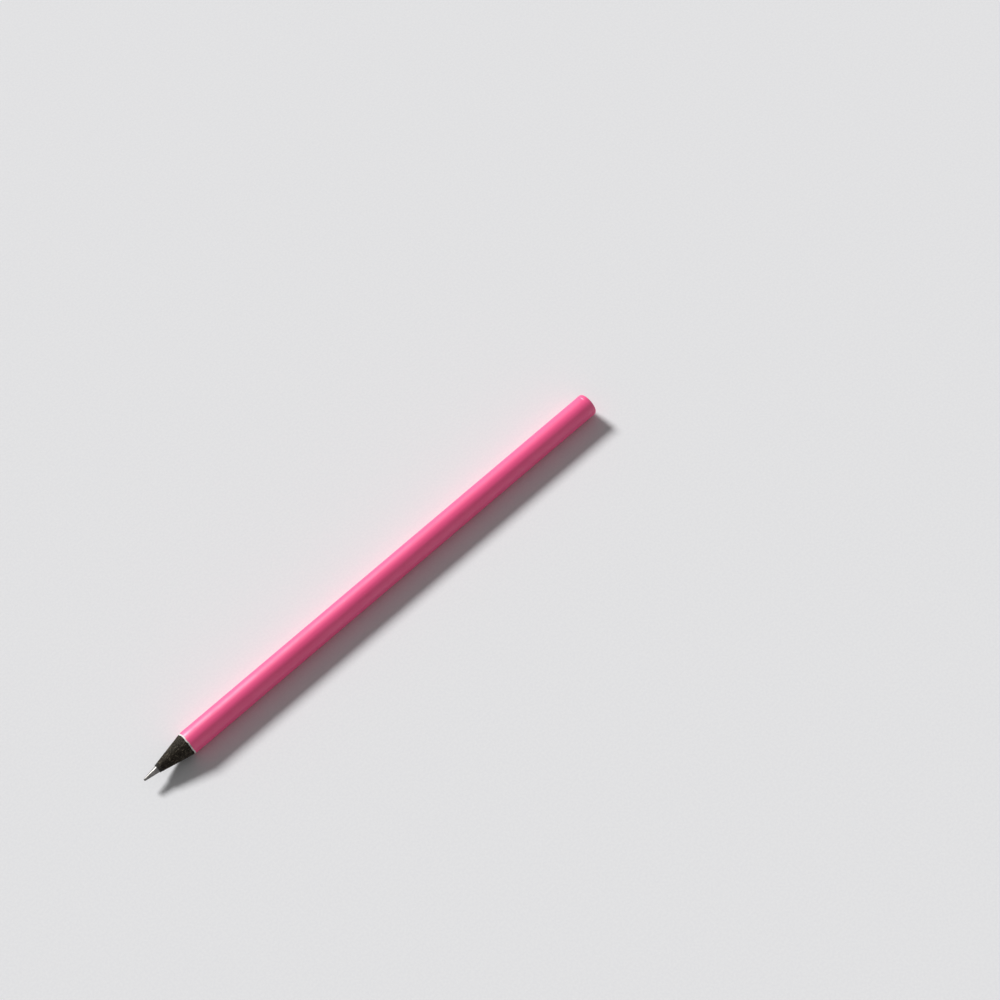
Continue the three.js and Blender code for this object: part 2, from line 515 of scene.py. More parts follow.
@dataclass(frozen=True)
class EffectShelf:
    """Builds each shared effect once and hands it out. Each cloud is read over its span."""

    fibres: Cloud = Cloud(detail=3.0, roughness=0.6)
    fibre_span: Span = (0.3, 0.7)
    pores: Cloud = Cloud(detail=1.0)
    pore_span: Span = (0.60, 0.70)
    pores_per_fibre: float = 1.9
    rings: Cloud = Cloud(detail=2.0, roughness=0.6)
    ring_span: Span = (0.3, 0.7)
    speck_per_cell: float = 0.25
    speck_edge: Span = (0.22, 0.10)
    smudges: Cloud = Cloud(detail=4.0, roughness=0.6)
    smudge_span: Span = (0.35, 0.65)
    film_seed: float = 3.7
    peel: Cloud = Cloud(detail=1.0)
    peel_span: Span = (0.25, 0.75)
    tone: Cloud = Cloud(scale=0.09, detail=3.0, roughness=0.6)
    tone_span: Span = (0.35, 0.65)
    trees: dict[Effect, bpy.types.NodeTree] = field(default_factory=dict)

    def get(self, effect: Effect) -> bpy.types.NodeTree:
        """The group of an effect, built when it is first asked for.

        Args:
            effect: The effect.

        Returns:
            Its node tree.
        """
        if effect not in self.trees:
            builders = {
                Effect.GRAIN: self.build_grain,
                Effect.MARKS: self.build_marks,
                Effect.HANDLING: self.build_handling,
                Effect.FILM: self.build_film,
            }
            self.trees[effect] = builders[effect]()
        return self.trees[effect]

    @staticmethod
    def open_group(
        effect: Effect, numbers: dict[str, float], results: Sequence[str]
    ) -> tuple[Bench, Node, Node]:
        """Starts a group with a Point input, number inputs and number outputs.

        Args:
            effect: The effect that it holds.
            numbers: Its number inputs and their usual values.
            results: Its outputs.

        Returns:
            Its bench, its input node and its output node.
        """
        tree = bpy.data.node_groups.new(effect.value, "ShaderNodeTree")
        tree.interface.new_socket(name="Point", in_out="INPUT", socket_type="NodeSocketVector")
        for name, value in numbers.items():
            socket = tree.interface.new_socket(name=name, in_out="INPUT", socket_type="NodeSocketFloat")
            socket.default_value = value
        for name in results:
            tree.interface.new_socket(name=name, in_out="OUTPUT", socket_type="NodeSocketFloat")
        bench = Bench(tree)
        return bench, bench.put("NodeGroupInput"), bench.put("NodeGroupOutput")

    def build_grain(self) -> bpy.types.NodeTree:
        """Fibres that run along the pencil, and the short dark dashes of its pores.

        Returns:
            The group.
        """
        numbers = {"Length": 4.0, "Width": 0.3, "Seed": 0.0}
        bench, given, result = self.open_group(Effect.GRAIN, numbers, ("Fibres", "Pores"))
        seed = bench.put("ShaderNodeCombineXYZ", X=given.outputs["Seed"], Y=given.outputs["Seed"])
        sizes = (given.outputs["Length"], given.outputs["Width"])
        lines = bench.vector("ADD", bench.stretched(given.outputs["Point"], *sizes), seed.outputs[0])
        dashes = bench.vector("SCALE", lines, self.pores_per_fibre)
        bench.fill(
            result,
            Fibres=bench.ramp(bench.noise(lines, self.fibres), self.fibre_span),
            Pores=bench.ramp(bench.noise(dashes, self.pores), self.pore_span),
        )
        return bench.tree

    def build_marks(self) -> bpy.types.NodeTree:
        """Fine rings left by a turning tool or by sanding the point round.

        Returns:
            The group.
        """
        numbers = {"Spacing": 0.12, "Wander": 6.0}
        bench, given, result = self.open_group(Effect.MARKS, numbers, ("Marks",))
        sizes = (given.outputs["Spacing"], given.outputs["Wander"])
        rings = bench.stretched(given.outputs["Point"], *sizes)
        bench.fill(result, Marks=bench.ramp(bench.noise(rings, self.rings), self.ring_span))
        return bench.tree

    def build_handling(self) -> bpy.types.NodeTree:
        """Specks of dust, and the soft smudges of fingers.

        Returns:
            The group.
        """
        numbers = {"Speck Size": 0.12, "Speck Share": 0.1, "Smudge Size": 6.0}
        bench, given, result = self.open_group(Effect.HANDLING, numbers, ("Specks", "Smudges"))
        point = given.outputs["Point"]
        cells = bench.put(
            "ShaderNodeTexVoronoi",
            Vector=point,
            Scale=bench.math("DIVIDE", self.speck_per_cell, given.outputs["Speck Size"]),
        )
        dot = bench.ramp(cells.outputs["Distance"], self.speck_edge)
        draw = bench.put("ShaderNodeSeparateColor", Color=cells.outputs["Color"]).outputs["Red"]
        chosen = bench.math("LESS_THAN", draw, given.outputs["Speck Share"])
        broad = bench.shrunk(point, given.outputs["Smudge Size"])
        bench.fill(
            result,
            Specks=bench.math("MULTIPLY", dot, chosen),
            Smudges=bench.ramp(bench.noise(broad, self.smudges), self.smudge_span),
        )
        return bench.tree

    def build_film(self) -> bpy.types.NodeTree:
        """The skin of a lacquer film: grain telling through, fine orange peel, and slow tone.

        Returns:
            The group.
        """
        numbers = {"Streak Length": 14.0, "Streak Width": 1.1, "Peel Size": 0.8, "Peel Share": 0.3}
        bench, given, result = self.open_group(Effect.FILM, numbers, ("Height", "Tone"))
        point = given.outputs["Point"]
        peel_share = given.outputs["Peel Share"]
        streaks = bench.group(
            self.get(Effect.GRAIN),
            Point=point,
            Length=given.outputs["Streak Length"],
            Width=given.outputs["Streak Width"],
            Seed=self.film_seed,
        ).outputs["Fibres"]
        peel_point = bench.shrunk(point, given.outputs["Peel Size"])
        peel = bench.ramp(bench.noise(peel_point, self.peel), self.peel_span)
        peel_part = bench.math("MULTIPLY", peel, peel_share)
        streak_part = bench.math("MULTIPLY", streaks, bench.math("SUBTRACT", 1.0, peel_share))
        bench.fill(
            result,
            Height=bench.math("ADD", streak_part, peel_part),
            Tone=bench.ramp(bench.noise(point, self.tone), self.tone_span),
        )
        return bench.tree


# The finishes


@dataclass(frozen=True)
class Finish(ABC):
    """A finish of one of the pencil's materials. Sizes and depths in millimetres."""

    shelf: EffectShelf

    @abstractmethod
    def lay(self, bench: Bench, point: Socket) -> dict[str, object]:
        """Joins the nodes of the finish.

        Args:
            bench: The bench of its material.
            point: Object coordinates in millimetres.

        Returns:
            The shader's inputs by name, each a value or a socket.
        """

    def effect(self, bench: Bench, effect: Effect, point: Socket, **values: float) -> Node:
        """Places a shared effect with its own values, underscores standing for spaces."""
        return bench.group(self.shelf.get(effect), Point=point, **values)

    def material(self, name: str) -> bpy.types.Material:
        """Makes the material.

        Args:
            name: Its name.

        Returns:
            The material.
        """
        material = bpy.data.materials.new(name)
        material.use_nodes = True
        bench = Bench(material.node_tree)
        place = bench.put("ShaderNodeTexCoord")
        scale = bench.put("ShaderNodeMapping", Vector=place.outputs["Object"])
        scale.inputs["Scale"].default_value = (1 / MM, 1 / MM, 1 / MM)
        shader = bench.put("ShaderNodeBsdfPrincipled")
        for socket, value in self.lay(bench, scale.outputs["Vector"]).items():
            bench.feed(shader.inputs[socket], Bench.opaque(value))
        bench.put("ShaderNodeOutputMaterial", Surface=shader.outputs["BSDF"])
        return material

    @staticmethod
    def bump(bench: Bench, height: Socket, depth: float, under: Socket | None = None) -> Socket:
        """Turns heights into a normal.

        Args:
            bench: The bench.
            height: Heights from 0 to 1.
            depth: What a height of 1 stands for, in millimetres.
            under: A normal that this one is laid over.

        Returns:
            The normal.
        """
        node = bench.put("ShaderNodeBump", Height=height, Distance=depth * MM)
        if under is not None:
            bench.feed(node.inputs["Normal"], under)
        return node.outputs["Normal"]


@dataclass(frozen=True)
class FilmSizes:
    """How long and wide a lacquer's streaks are, and how large its orange peel is."""

    streak_length: float
    streak_width: float
    peel_size: float


class FilmKind(Enum):
    """How a lacquer was put on: drawn along the barrel through a collar, or dipped."""

    DRAWN = FilmSizes(streak_length=16.0, streak_width=0.75, peel_size=0.9)
    DIPPED = FilmSizes(streak_length=2.4, streak_width=1.8, peel_size=1.4)


@dataclass(frozen=True)
class LacquerFinish(Finish):
    """Bright pink lacquer with a satin shine."""

    kind: FilmKind = FilmKind.DRAWN
    pink: Colour = (0.974, 0.058, 0.250)
    deep_pink: Colour = (0.91, 0.043, 0.192)
    deep_share: float = 0.22
    dust: Colour = (0.95, 0.62, 0.70)
    dust_share: float = 0.35
    speck_size: float = 0.10
    speck_share: float = 0.012
    speck_depth: float = 0.0015
    smudge_size: float = 5.0
    smudge_span: Span = (-0.035, 0.045)
    peel_share: float = 0.25
    film_depth: float = 0.014
    roughness: float = 0.53
    specular: float = 0.90
    coat: float = 0.42
    coat_roughness: float = 0.34

    def lay(self, bench: Bench, point: Socket) -> dict[str, object]:
        """Joins the film's tone, its skin and the traces of handling.

        Args:
            bench: The bench of its material.
            point: Object coordinates in millimetres.

        Returns:
            The shader's inputs.
        """
        film = self.effect(
            bench,
            Effect.FILM,
            point,
            Streak_Length=self.kind.value.streak_length,
            Streak_Width=self.kind.value.streak_width,
            Peel_Size=self.kind.value.peel_size,
            Peel_Share=self.peel_share,
        )
        traces = self.effect(
            bench,
            Effect.HANDLING,
            point,
            Speck_Size=self.speck_size,
            Speck_Share=self.speck_share,
            Smudge_Size=self.smudge_size,
        )
        deep = bench.math("MULTIPLY", film.outputs["Tone"], self.deep_share)
        dusty = bench.math("MULTIPLY", traces.outputs["Specks"], self.dust_share)
        smudged = bench.ramp(traces.outputs["Smudges"], UNIT, self.smudge_span)
        skin = self.bump(bench, film.outputs["Height"], self.film_depth)
        return {
            "Base Color": bench.mix(dusty, bench.mix(deep, self.pink, self.deep_pink), self.dust),
            "Roughness": bench.math("ADD", smudged, self.roughness),
            "Specular IOR Level": self.specular,
            "Coat Weight": self.coat,
            "Coat Roughness": self.coat_roughness,
            "Normal": self.bump(bench, traces.outputs["Specks"], self.speck_depth, skin),
        }


@dataclass(frozen=True)
class UndercoatFinish(Finish):
    """Chalky white undercoat, cut through by the knife."""

    white: Colour = (0.74, 0.725, 0.70)
    dusted: Colour = (0.36, 0.335, 0.31)
    dust: Cloud = Cloud(scale=1.6, detail=3.0, roughness=0.65)
    dust_span: Span = (0.50, 0.68)
    dust_share: float = 0.8
    mark_spacing: float = 0.05
    mark_wander: float = 1.2
    mark_depth: float = 0.004
    roughness_span: Span = (0.55, 0.75)

    def lay(self, bench: Bench, point: Socket) -> dict[str, object]:
        """Joins the chalk's tone and the wood dust that the cut has left on it.

        Args:
            bench: The bench of its material.
            point: Object coordinates in millimetres.

        Returns:
            The shader's inputs.
        """
        marks = self.effect(
            bench, Effect.MARKS, point, Spacing=self.mark_spacing, Wander=self.mark_wander
        )
        dust = bench.ramp(bench.noise(point, self.dust), self.dust_span)
        dusty = bench.math("MULTIPLY", dust, self.dust_share)
        return {
            "Base Color": bench.mix(dusty, self.white, self.dusted),
            "Roughness": bench.ramp(dust, UNIT, self.roughness_span),
            "Normal": self.bump(bench, marks.outputs["Marks"], self.mark_depth),
        }


class WoodMask(Enum):
    """What the carved wood's mesh notes at its vertices for the finish, from 0 to 1."""

    FLECK = "fleck"
    PORE = "pore"


@dataclass(frozen=True)
class DyedWoodFinish(Finish):
    """Wood dyed near-black all through, cut bare, with its torn fibres a little paler."""

    seed: float = 0.0
    black: Colour = (0.0085, 0.0070, 0.0054)
    fibre: Colour = (0.044, 0.0365, 0.0265)
    torn: Colour = (0.142, 0.121, 0.089)
    torn_span: Span = (0.1, 0.9)
    torn_share: Span = (0.35, 1.0)
    graphite_dust: Colour = (0.040, 0.039, 0.037)
    dust_start: float = PencilSizes.lip_x
    dust_reach: float = 1.6
    dust_share: float = 0.7
    grain_length: float = 2.6
    grain_width: float = 0.16
    grain_depth: float = 0.012
    mark_spacing: float = 0.10
    mark_wander: float = 2.5
    mark_depth: float = 0.005
    roughness_span: Span = (0.62, 0.50)
    specular: float = 0.05

    def lay(self, bench: Bench, point: Socket) -> dict[str, object]:
        """Joins the grain, the flecks that the mesh carries, the cut's marks and the dust.

        Args:
            bench: The bench of its material.
            point: Object coordinates in millimetres.

        Returns:
            The shader's inputs.
        """
        grain = self.effect(
            bench, Effect.GRAIN, point, Length=self.grain_length, Width=self.grain_width, Seed=self.seed
        )
        marks = self.effect(
            bench, Effect.MARKS, point, Spacing=self.mark_spacing, Wander=self.mark_wander
        )
        fleck, pore = (
            bench.put("ShaderNodeAttribute", {"attribute_name": mask.value}).outputs["Fac"]
            for mask in WoodMask
        )
        fibres = grain.outputs["Fibres"]
        torn = bench.math("MULTIPLY", fleck, bench.ramp(fibres, self.torn_span, self.torn_share))
        open_pore = bench.math("MAXIMUM", pore, grain.outputs["Pores"])
        along = bench.put("ShaderNodeSeparateXYZ", Vector=point).outputs["X"]
        dust_span = (self.dust_start + self.dust_reach, self.dust_start)
        near_lead = bench.ramp(along, dust_span, (0.0, self.dust_share))
        colour = bench.mix(fibres, self.black, self.fibre)
        for share, tint in ((torn, self.torn), (open_pore, self.black), (near_lead, self.graphite_dust)):
            colour = bench.mix(share, colour, tint)
        fine = bench.math("SUBTRACT", fibres, grain.outputs["Pores"])
        cut = self.bump(bench, fine, self.grain_depth)
        return {
            "Base Color": colour,
            "Roughness": bench.ramp(fibres, UNIT, self.roughness_span),
            "Specular IOR Level": self.specular,
            "Normal": self.bump(bench, marks.outputs["Marks"], self.mark_depth, cut),
        }


@dataclass(frozen=True)
class GraphiteFinish(Finish):
    """Fired graphite and clay, burnished on the cut point."""

    grey: Colour = (0.130, 0.125, 0.119)
    burnished: Colour = (0.200, 0.192, 0.181)
    clay: Colour = (0.060, 0.057, 0.053)
    clay_share: float = 0.7
    speck_size: float = 0.07
    speck_share: float = 0.25
    smudge_size: float = 0.9
    mark_spacing: float = 0.045
    mark_wander: float = 1.6
    mark_depth: float = 0.0022
    metallic_span: Span = (0.88, 0.4)
    roughness_span: Span = (0.38, 0.28)

    def lay(self, bench: Bench, point: Socket) -> dict[str, object]:
        """Joins the sheen, the turning marks and the duller patches of clay.

        Args:
            bench: The bench of its material.
            point: Object coordinates in millimetres.

        Returns:
            The shader's inputs.
        """
        marks = self.effect(
            bench, Effect.MARKS, point, Spacing=self.mark_spacing, Wander=self.mark_wander
        )
        traces = self.effect(
            bench,
            Effect.HANDLING,
            point,
            Speck_Size=self.speck_size,
            Speck_Share=self.speck_share,
            Smudge_Size=self.smudge_size,
        )
        specks = traces.outputs["Specks"]
        smudges = traces.outputs["Smudges"]
        rubbed = bench.mix(smudges, self.grey, self.burnished)
        return {
            "Base Color": bench.mix(bench.math("MULTIPLY", specks, self.clay_share), rubbed, self.clay),
            "Metallic": bench.ramp(specks, UNIT, self.metallic_span),
            "Roughness": bench.ramp(smudges, UNIT, self.roughness_span),
            "Normal": self.bump(bench, marks.outputs["Marks"], self.mark_depth),
        }


@dataclass(frozen=True)
class GlueFinish(Finish):
    """Dried glue, stained by the dyed wood."""

    amber: Colour = (0.055, 0.043, 0.030)
    stained: Colour = (0.025, 0.021, 0.018)
    seed: float = 8.0
    stain_length: float = 0.9
    stain_width: float = 0.25
    skin_depth: float = 0.006
    roughness_span: Span = (0.35, 0.6)

    def lay(self, bench: Bench, point: Socket) -> dict[str, object]:
        """Joins the stain and the skin of the glue.

        Args:
            bench: The bench of its material.
            point: Object coordinates in millimetres.

        Returns:
            The shader's inputs.
        """
        stain = self.effect(
            bench, Effect.GRAIN, point, Length=self.stain_length, Width=self.stain_width, Seed=self.seed
        ).outputs["Fibres"]
        return {
            "Base Color": bench.mix(stain, self.amber, self.stained),
            "Roughness": bench.ramp(stain, UNIT, self.roughness_span),
            "Normal": self.bump(bench, stain, self.skin_depth),
        }


@dataclass(frozen=True)
class PaperFinish(Finish):
    """Plain pale paper for the studio floor."""

    pale: Colour = (0.86, 0.86, 0.87)
    shade: Colour = (0.835, 0.835, 0.85)
    mottle: Cloud = Cloud(scale=1.4, detail=2.0, roughness=0.6)
    mottle_span: Span = (0.35, 0.65)
    tooth_depth: float = 0.004
    roughness: float = 0.9
    specular: float = 0.2

    def lay(self, bench: Bench, point: Socket) -> dict[str, object]:
        """Joins the paper's faint mottle and its tooth.

        Args:
            bench: The bench of its material.
            point: Object coordinates in millimetres.

        Returns:
            The shader's inputs.
        """
        mottle = bench.ramp(bench.noise(point, self.mottle), self.mottle_span)
        return {
            "Base Color": bench.mix(mottle, self.pale, self.shade),
            "Roughness": self.roughness,
            "Specular IOR Level": self.specular,
            "Normal": self.bump(bench, mottle, self.tooth_depth),
        }


# The pencil's pieces


class Assembly(ABC):
    """A part of the scene that is built in one go."""

    @abstractmethod
    def build(self) -> list[Piece]:
        """Builds and dresses its pieces.

        Returns:
            The pieces.
        """


@dataclass(frozen=True)
class LeadCore(Assembly):
    """The lead: a rod with a slim taper and a blunt, rounded tip."""

    sizes: PencilSizes
    lathe: Lathe
    finish: GraphiteFinish
    radius: float = 1.10
    tip_radius: float = 0.40
    tip_steps: int = 14
    taper_steps: int = 60
    wear: float = 0.012
    wear_bias: float = 0.6
    wear_reach: Span = (0.2, 2.5)
    axis_fade: Span = (0.0, 0.3)
    unevenness: Lumps = Lumps(along=2.2, across=2.5)

    @property
    def taper(self) -> float:
        """Half angle of the taper that touches the tip's ball."""
        run = self.sizes.lip_x - self.sizes.tip_x - self.tip_radius
        return math.atan2(self.radius, run) - math.asin(self.tip_radius / math.hypot(run, self.radius))

    def outline(self) -> list[Station]:
        """Stations from the tip over the taper to the trimmed end.

        Returns:
            The outline, which starts and ends on the axis.
        """
        sizes = self.sizes
        centre_x = sizes.tip_x + self.tip_radius
        ball = [
            (centre_x + self.tip_radius * math.sin(turn), self.tip_radius * math.cos(turn))
            for turn in spread(-math.pi / 2, -self.taper, self.tip_steps)
        ]
        start_x, start_radius = ball[-1]
        run = [
            (x, start_radius + (self.radius - start_radius) * (x - start_x) / (sizes.lip_x - start_x))
            for x in spread(start_x, sizes.lip_x, self.taper_steps)
        ]
        rod = [(sizes.trim_x, self.radius), (sizes.trim_x, 0.0)]
        return [(sizes.tip_x, 0.0), *ball[1:], *run[1:], *rod]

    def rub(self, spot: Spot) -> None:
        """Wears the tip a little unevenly.

        Args:
            spot: A spot of the lead, changed in place.
        """
        near_tip = 1 - smooth(*self.wear_reach, spot.x - self.sizes.tip_x)
        uneven = self.unevenness.at(spot) - self.wear_bias
        spot.radius += self.wear * near_tip * uneven * smooth(*self.axis_fade, spot.radius)

    def build(self) -> list[Piece]:
        """Turns the lead and dresses it.

        Returns:
            The lead.
        """
        lead = self.lathe.turn("lead", self.outline())
        self.lathe.reshape(lead, self.rub)
        finish_piece(lead, self.finish.material("graphite"), "graphite_core")
        return [lead]


class Half(Enum):
    """The casing's two slats, by the side of the glue joint that they lie on."""

    UPPER = 1
    LOWER = -1


@dataclass(frozen=True)
class Casing(Assembly):
    """Two grooved slats of dyed wood round the lead, cut to a cone in front."""

    sizes: PencilSizes
    lathe: Lathe
    finishes: dict[Half, DyedWoodFinish]
    radius: float = 3.52
    groove_radius: float = 1.18
    joint_gap: float = 0.04
    cone_steps: int = 132
    cone_tolerance: float = 0.002
    edge_fade: float = 0.25
    lip_wander: float = 0.07
    lip_lobes: float = 2.5
    lip_reach: float = 0.8
    fibres: Lumps = Lumps(along=0.40, across=4.6)
    fibre_height: float = 0.026
    tears: Lumps = Lumps(along=1.5, across=3.4)
    tear_height: float = 0.034
    tear_span: Span = (0.02, 0.50)
    tear_pull: float = 0.4
    pores: Lumps = Lumps(along=0.7, across=7.0)
    pore_depth: float = 0.045
    pore_span: Span = (0.30, 0.55)
    chatter: Lumps = Lumps(along=3.0, across=0.7)
    chatter_span: Span = (-0.25, 0.25)
    chatter_share: float = 0.4

    def outline(self) -> list[Station]:
        """Stations of the whole casing as if it were one piece.

        Returns:
            The closed outline.
        """
        front = self.sizes.lip_x
        lip = (self.groove_radius + self.sizes.lip_radius) / 2
        cone = [
            (x, self.sizes.cone_radius(x))
            for x in spread(front, self.sizes.cone_x(self.radius), self.cone_steps)
        ]
        tail = [
            (self.sizes.trimmed_x(self.radius), self.radius),
            (self.sizes.trim_x, self.sizes.rounding_centre),
            (self.sizes.trim_x, self.groove_radius),
        ]
        return [(front, self.groove_radius), (front, lip), *cone, *tail, (front, self.groove_radius)]

    def split(self, stock: Piece, half: Half) -> Piece:
        """Saws one slat out of the turned stock.

        Args:
            stock: The whole casing.
            half: Which slat.

        Returns:
            The slat, closed along the joint.
        """
        pick(stock)
        bpy.ops.object.duplicate()
        slat = bpy.context.object
        slat.name = f"{half.name.lower()}_casing"
        slat.data.name = slat.name
        bpy.ops.object.mode_set(mode="EDIT")
        bpy.ops.mesh.select_all(action="SELECT")
        bpy.ops.mesh.bisect(
            plane_co=self.lathe.centre + Vector((0, 0, half.value * self.joint_gap * MM)),
            plane_no=(0, 0, half.value),
            use_fill=True,
            clear_inner=True,
            threshold=self.lathe.weld,
        )
        bpy.ops.mesh.select_all(action="SELECT")
        bpy.ops.mesh.normals_make_consistent(inside=False)
        bpy.ops.object.mode_set(mode="OBJECT")
        return slat

    def relief(self, spot: Spot, seed: float) -> tuple[float, float, float]:
        """Height of the cut wood at a spot, with its flecks and pores.

        Args:
            spot: A spot on the cone.
            seed: The slat's own grain.

        Returns:
            The height, how torn the fibres are there and how open the pores are, 0 to 1 each.
        """
        fibre = self.fibres.at(spot, seed)
        skipped = self.chatter_share * (1 - smooth(*self.chatter_span, self.chatter.at(spot, seed)))
        pulled = self.tears.at(spot, -seed) + self.tear_pull * fibre
        torn = smooth(*self.tear_span, pulled) * (1 - skipped)
        pore = smooth(*self.pore_span, self.pores.at(spot, 2 * seed))
        height = self.fibre_height * fibre + self.tear_height * torn - self.pore_depth * pore
        return height, torn, pore

    def ragged(self, spot: Spot, seed: float) -> float:
        """How far the torn lip stands back at a spot."""
        return self.lip_wander * wander(spot.angle, self.lip_lobes, seed)

    def cut(self, spot: Spot, height: float, seed: float) -> None:
        """Moves a spot of the cone by the knife's ripple, the wood's relief and the ragged lip.

        Args:
            spot: The spot, changed in place.
            height: Height of the relief there.
            seed: The slat's own grain.
        """
        sizes = self.sizes
        share = (spot.radius - sizes.lip_radius) / (self.radius - sizes.lip_radius)
        to_ring = sizes.cone_x(self.radius) - spot.x
        from_lip = spot.x - sizes.lip_x
        raised = height * (smooth(0, self.edge_fade, to_ring) * smooth(0, self.edge_fade, from_lip))
        ripple = sizes.ripple(spot.angle)
        spot.x += self.ragged(spot, seed) * (1 - smooth(0, self.lip_reach, from_lip))
        spot.x -= ripple * share / sizes.cone_slope + raised * math.sin(sizes.cone_half_angle)
        spot.radius += ripple * (1 - share) + raised * math.cos(sizes.cone_half_angle)

    def carve(self, slat: Piece, seed: float) -> None:
        """Gives the cone its ripple and its wood relief, and notes flecks and pores on the mesh.

        Args:
            slat: The slat.
            seed: Its own grain.
        """
        for mask in WoodMask:
            slat.data.attributes.new(mask.value, "FLOAT", "POINT")
        flecks, pores = (slat.data.attributes[mask.value].data for mask in WoodMask)
        ring_x = self.sizes.cone_x(self.radius)
        for vertex, fleck, pore in zip(slat.data.vertices, flecks, pores):
            spot = self.lathe.spot(vertex.co)
            off_cone = abs(spot.radius - self.sizes.cone_radius(spot.x))
            if off_cone < self.cone_tolerance and spot.x < ring_x + SNAP:
                height, fleck.value, pore.value = self.relief(spot, seed)
                self.cut(spot, height, seed)
            elif spot.x < self.sizes.lip_x + SNAP:
                spot.x += self.ragged(spot, seed)
            else:
                continue
            vertex.co = self.lathe.point(spot)
        slat.data.update()

    def build(self) -> list[Piece]:
        """Turns the casing, saws it along the joint, carves and dresses both slats.

        Returns:
            The two slats.
        """
        stock = self.lathe.turn("casing_stock", self.outline())
        slats = []
        for half, finish in self.finishes.items():
            slat = self.split(stock, half)
            self.carve(slat, finish.seed)
            material = finish.material(f"dyed_wood_{half.name.lower()}")
            finish_piece(slat, material, f"{half.name.lower()}_slat")
            slats.append(slat)
        bpy.data.objects.remove(stock)
        return slats


@dataclass(frozen=True)
class Coat(Assembly):
    """A coat of the barrel: a thin tube, cut by the cone in front and rounded behind."""

    sizes: PencilSizes
    lathe: Lathe
    finish: Finish
    name: str
    slot: str
    node: str
    inner_radius: float
    outer_radius: float
    chip_depth: float
    chip_lobes: float
    seed: float
    fine_share: float = 0.5
    fine_lobes: float = 3.1
    fine_seed: float = 5.0
    waviness: float = 0.0
    waves: Lumps = Lumps(along=0.11, across=0.38)
    cut_steps: int = 6
    barrel_steps: int = 44
    tail_steps: int = 4

    def outline(self) -> list[Station]:
        """Stations up the cut, along the outside, down the rounding and back inside.

        Returns:
            The closed outline.
        """
        sizes = self.sizes
        cut = [
            (sizes.cone_x(radius), radius)
            for radius in spread(self.inner_radius, self.outer_radius, self.cut_steps)
        ]
        rounding_start = sizes.trimmed_x(self.outer_radius)
        side = [(x, self.outer_radius) for x in spread(cut[-1][0], rounding_start, self.barrel_steps)]
        tail = [
            (sizes.trimmed_x(radius), radius)
            for radius in spread(self.outer_radius, self.inner_radius, self.tail_steps)
        ]
        return [*cut, *side[1:], *tail[1:], cut[0]]

    def chips(self, angle: float) -> float:
        """How deep the knife's broad and fine chips are.

        Args:
            angle: Angle round the axis.

        Returns:
            Their depth along the barrel.
        """
        broad = wander(angle, self.chip_lobes, self.seed)
        fine = wander(angle, self.chip_lobes * self.fine_lobes, self.seed + self.fine_seed)
        return self.chip_depth * (max(broad, 0.0) + self.fine_share * max(fine, 0.0))

    def knife(self, spot: Spot) -> None:
        """Lets the knife's ripple and small chips into the cut, and waves into the barrel.

        Args:
            spot: A spot of the coat, changed in place.
        """
        sizes = self.sizes
        middle = (self.inner_radius + self.outer_radius) / 2
        if spot.x < sizes.cone_x(self.outer_radius) + SNAP:
            spot.x += self.chips(spot.angle) - sizes.ripple(spot.angle) / sizes.cone_slope
        elif spot.radius > middle and spot.x < sizes.rounding_x:
            spot.radius += self.waviness * self.waves.at(spot)

    def build(self) -> list[Piece]:
        """Turns the coat, cuts it as the knife did and dresses it.

        Returns:
            The coat.
        """
        coat = self.lathe.turn(self.name, self.outline())
        self.lathe.reshape(coat, self.knife)
        finish_piece(coat, self.finish.material(self.slot), self.node)
        return [coat]


